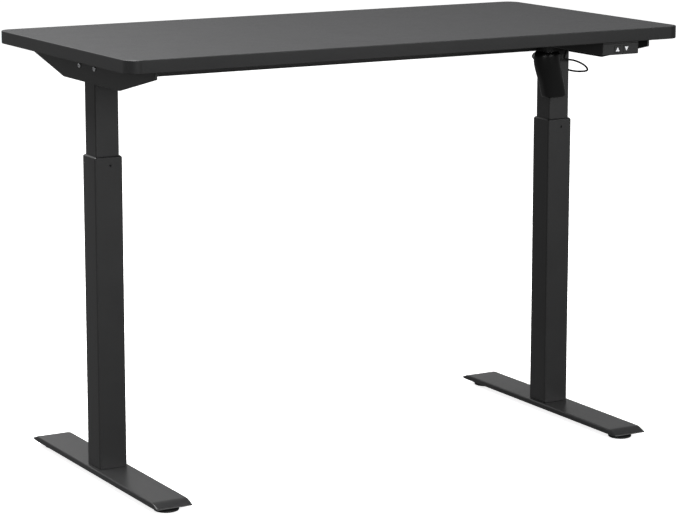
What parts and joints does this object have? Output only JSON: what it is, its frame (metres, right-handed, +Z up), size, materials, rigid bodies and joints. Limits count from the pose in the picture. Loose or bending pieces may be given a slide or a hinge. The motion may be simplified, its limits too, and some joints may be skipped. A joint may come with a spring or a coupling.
{
  "type": "height adjustable standing desk",
  "caption": "Rectangular desktop on a T-legged steel frame; a motor, a cross shaft and spindles in telescopic columns raise and lower it.",
  "frame": {"origin": "on the floor, under the centre of the desktop", "axes": "+Z up; +X along the desktop's long side, to the right of a seated user; the user sits on the -Y side"},
  "size_m": [1.2192, 0.6096, 0.85],
  "materials": {
    "desktop_laminate": "dark grey laminated particle board, matt",
    "powder_coated_steel": "fine-textured dark grey powder coat",
    "column_liner": "moulded grey nylon",
    "bare_steel": "machined, oiled",
    "black_screw": "blackened steel",
    "gearbox_plastic": "moulded black glass-filled nylon",
    "zinc_bolt": "bright zinc plate",
    "pad_rubber": "black",
    "motor_steel": "plated can",
    "motor_plastic": "moulded black, satin",
    "controller_plastic": "moulded black ABS, fine texture",
    "button_plastic": "moulded black ABS with a white arrow",
    "cable_jacket": "black PVC",
    "circuit_laminate": "green glass-epoxy board"
  },
  "bodies": {
    "base": {"foot_left": "powder_coated_steel", "outer_tube_left": "powder_coated_steel", "top_collar_left": "column_liner", "collar_screw_left": "black_screw", "nut_tube_left": "bare_steel", "spindle_nut_left": "column_liner", "foot_bolt_left_front": "black_screw", "foot_bolt_left_rear": "black_screw", "foot_right": "powder_coated_steel", "outer_tube_right": "powder_coated_steel", "top_collar_right": "column_liner", "collar_screw_right": "black_screw", "nut_tube_right": "bare_steel", "spindle_nut_right": "column_liner", "foot_bolt_right_front": "black_screw", "foot_bolt_right_rear": "black_screw"},
    "lift": {"bracket_bolt_left_front": "zinc_bolt", "bracket_bolt_left_rear": "zinc_bolt", "bracket_bolt_right_front": "zinc_bolt", "bracket_bolt_right_rear": "zinc_bolt", "cable_strain_relief": "cable_jacket", "controller_board": "circuit_laminate", "controller_lid": "controller_plastic", "controller_tray": "controller_plastic", "desktop": "desktop_laminate", "desktop_screw_left_front": "zinc_bolt", "desktop_screw_left_rear": "zinc_bolt", "desktop_screw_right_front": "zinc_bolt", "desktop_screw_right_rear": "zinc_bolt", "front_rail": "powder_coated_steel", "gear_case_left": "gearbox_plastic", "gear_case_lid_left": "gearbox_plastic", "gear_case_lid_right": "gearbox_plastic", "gear_case_right": "gearbox_plastic", "inner_tube_left": "powder_coated_steel", "inner_tube_right": "powder_coated_steel", "lower_glide_left": "column_liner", "lower_glide_right": "column_liner", "mains_inlet": "controller_plastic", "motor_cable": "cable_jacket", "motor_can": "motor_steel", "motor_cover": "motor_plastic", "rear_rail": "powder_coated_steel", "side_bracket_left": "powder_coated_steel", "side_bracket_right": "powder_coated_steel"},
    "spindle_left": {"spindle_left": "bare_steel", "spindle_gear_left": "bare_steel"},
    "spindle_right": {"spindle_right": "bare_steel", "spindle_gear_right": "bare_steel"},
    "drive_shaft": {"drive_shaft": "bare_steel", "shaft_gear_left": "bare_steel", "shaft_gear_right": "bare_steel"},
    "idler": {"idler_gear": "bare_steel"},
    "motor_rotor": {"motor_rotor": "bare_steel"},
    "raise_button": {"raise_button": "button_plastic"},
    "lower_button": {"lower_button": "button_plastic"},
    "leveller_left_front": {"leveller_left_front": "pad_rubber"},
    "leveller_left_rear": {"leveller_left_rear": "pad_rubber"},
    "leveller_right_front": {"leveller_right_front": "pad_rubber"},
    "leveller_right_rear": {"leveller_right_rear": "pad_rubber"}
  },
  "joints": [
    {"name": "lift_slide", "type": "slide", "parent": "base", "child": "lift", "axis": [0, 0, 1], "range_m": [-0.139, 0.318]},
    {"name": "spindle_left_turn", "type": "hinge", "parent": "lift", "child": "spindle_left", "pos_m": [-0.519, 0.0129, 0.803], "axis": [0, 0, 1], "range_deg": [-14315, 6260]},
    {"name": "spindle_right_turn", "type": "hinge", "parent": "lift", "child": "spindle_right", "pos_m": [0.519, 0.0129, 0.803], "axis": [0, 0, 1], "range_deg": [-6260, 14315]},
    {"name": "drive_shaft_turn", "type": "hinge", "parent": "lift", "child": "drive_shaft", "pos_m": [0, 0.0129, 0.803], "axis": [1, 0, 0], "range_deg": [-14315, 6260]},
    {"name": "idler_turn", "type": "hinge", "parent": "lift", "child": "idler", "pos_m": [0.49502, -0.01912, 0.7838], "axis": [0, 0, 1], "range_deg": [-9545, 4175]},
    {"name": "motor_turn", "type": "hinge", "parent": "lift", "child": "motor_rotor", "pos_m": [0.469, -0.041, 0.7807], "axis": [0, 0, 1], "range_deg": [-10013, 22901]},
    {"name": "raise_press", "type": "slide", "parent": "lift", "child": "raise_button", "axis": [0, 1, 0], "range_m": [0, 0.0015], "stiffness_N_per_m": 800, "springref_m": -0.0005},
    {"name": "lower_press", "type": "slide", "parent": "lift", "child": "lower_button", "axis": [0, 1, 0], "range_m": [0, 0.0015], "stiffness_N_per_m": 800, "springref_m": -0.0005},
    {"name": "leveller_left_front_screw", "type": "slide", "parent": "base", "child": "leveller_left_front", "axis": [0, 0, -1], "range_m": [0, 0.01]},
    {"name": "leveller_left_rear_screw", "type": "slide", "parent": "base", "child": "leveller_left_rear", "axis": [0, 0, -1], "range_m": [0, 0.01]},
    {"name": "leveller_right_front_screw", "type": "slide", "parent": "base", "child": "leveller_right_front", "axis": [0, 0, -1], "range_m": [0, 0.01]},
    {"name": "leveller_right_rear_screw", "type": "slide", "parent": "base", "child": "leveller_right_rear", "axis": [0, 0, -1], "range_m": [0, 0.01]}
  ],
  "couplings": [
    {"joint": "spindle_right_turn", "follows": "lift_slide", "rad_per_m": 785.4},
    {"joint": "spindle_left_turn", "follows": "lift_slide", "rad_per_m": -785.4},
    {"joint": "drive_shaft_turn", "follows": "lift_slide", "rad_per_m": -785.4},
    {"joint": "idler_turn", "follows": "lift_slide", "rad_per_m": -523.6},
    {"joint": "motor_turn", "follows": "lift_slide", "rad_per_m": 1256.6}
  ]
}
